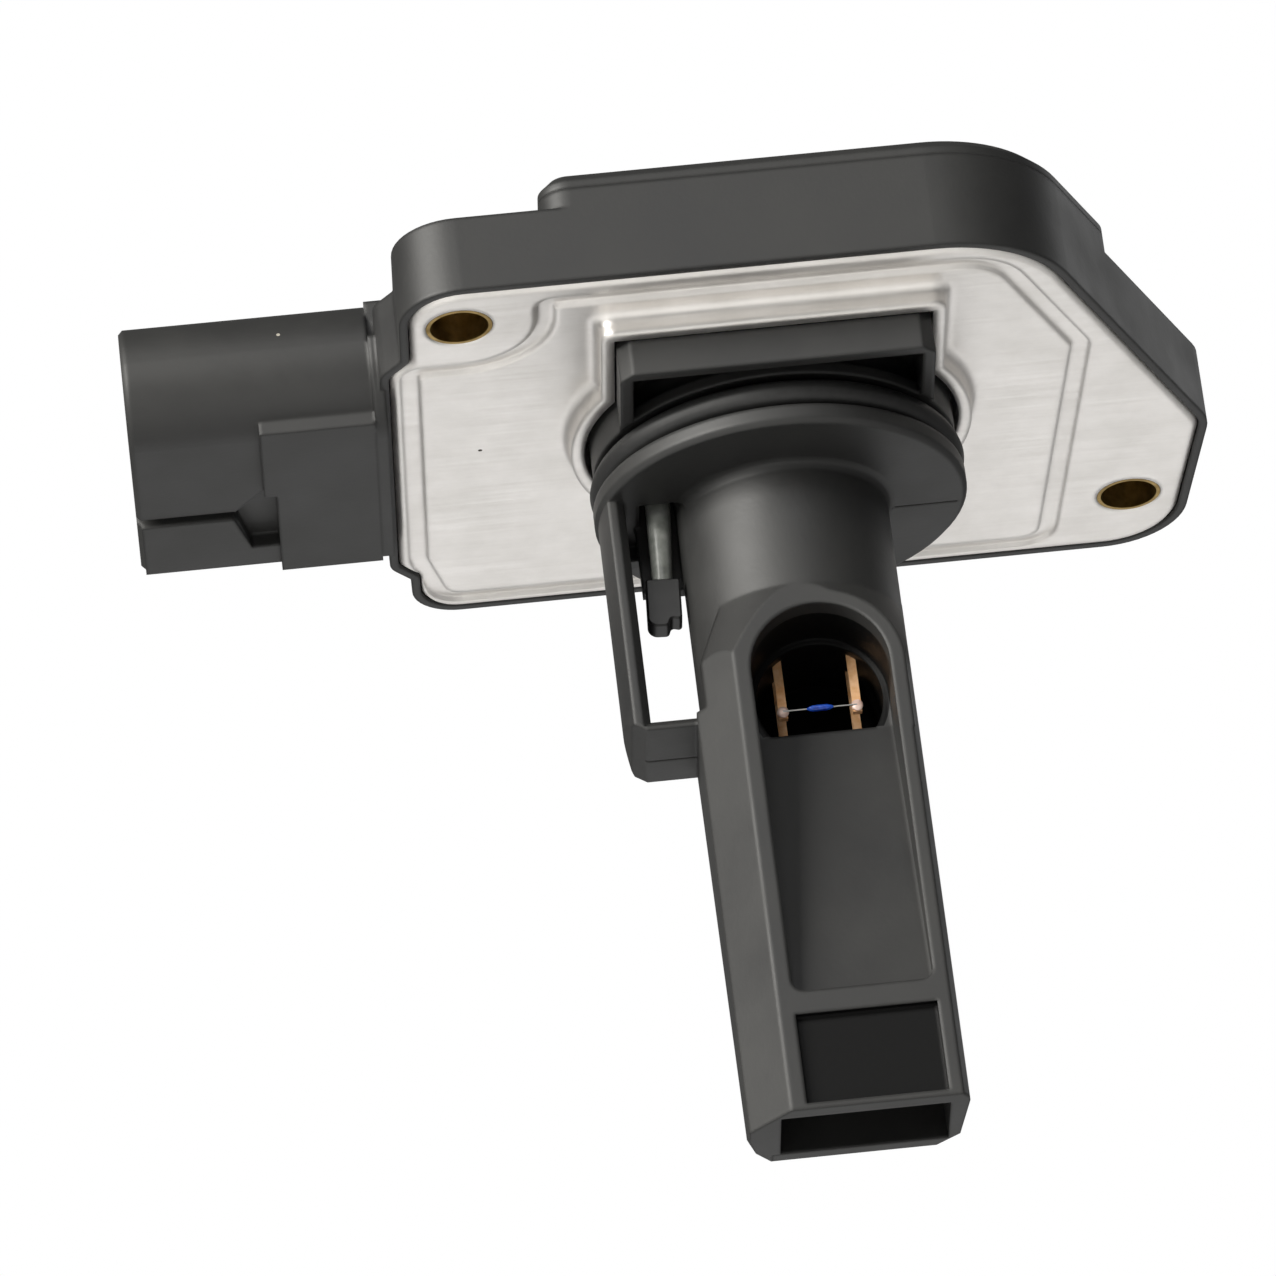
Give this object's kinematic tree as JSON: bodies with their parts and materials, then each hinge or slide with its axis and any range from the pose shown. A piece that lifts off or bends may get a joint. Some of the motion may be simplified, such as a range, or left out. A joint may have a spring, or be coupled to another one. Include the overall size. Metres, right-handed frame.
{
  "type": "mass airflow sensor",
  "caption": "Plug-in hot-wire mass airflow sensor: lipped metal mounting plate, plastic electronics box with side connector, and an O-ring sealed probe with air passage and thermistor.",
  "frame": {"origin": "the spigot's axis in the mounting plane, which is the lower face of the base plate", "axes": "+Z out of the duct, so the probe hangs along -Z; -Y faces the air flow at the inlet; the connector's mouth opens towards -X"},
  "size_m": [0.0868, 0.0533, 0.0743],
  "materials": {
    "black_plastic": "moulded glass-filled plastic, satin",
    "aluminium_sheet": "rolled sheet, matt",
    "silicone_sealant": "cured sealant",
    "seal_rubber": "smooth moulded rubber",
    "brass_bush": "turned, dull",
    "plated_pin": "tin plated copper alloy",
    "copper_alloy": "stamped copper alloy",
    "blue_glass": "fused glass on fine wire",
    "thermistor_epoxy": "dipped epoxy",
    "glassy_sleeve": "milky glass sleeve",
    "lead_wire": "tinned wire",
    "ceramic_board": "alumina ceramic",
    "chip_plastic": "moulded chip package",
    "chip_ceramic": "ceramic chip",
    "resistor_film": "glazed film",
    "bond_aluminium": "bright ribbon",
    "silicone_gel": "clear soft gel"
  },
  "bodies": {
    "root": {"housing": "black_plastic", "base_plate": "aluminium_sheet", "cover": "black_plastic", "cover_sealant": "silicone_sealant", "plate_sealant": "silicone_sealant", "o_ring": "seal_rubber", "passage_cover": "black_plastic", "bushing_left": "brass_bush", "bushing_right": "brass_bush", "terminal_1": "plated_pin", "terminal_2": "plated_pin", "terminal_3": "plated_pin", "terminal_4": "plated_pin", "terminal_5": "plated_pin", "sense_post_left": "copper_alloy", "sense_post_right": "copper_alloy", "compensation_post_left": "copper_alloy", "compensation_post_right": "copper_alloy", "heating_element": "blue_glass", "compensation_element": "blue_glass", "thermistor": "thermistor_epoxy", "thermistor_sleeve": "glassy_sleeve", "thermistor_lead_front": "lead_wire", "thermistor_lead_rear": "lead_wire", "circuit_board": "ceramic_board", "control_chip": "chip_plastic", "chip_capacitors": "chip_ceramic", "chip_resistors": "resistor_film", "bond_wires": "bond_aluminium", "sealing_gel": "silicone_gel"}
  },
  "joints": []
}
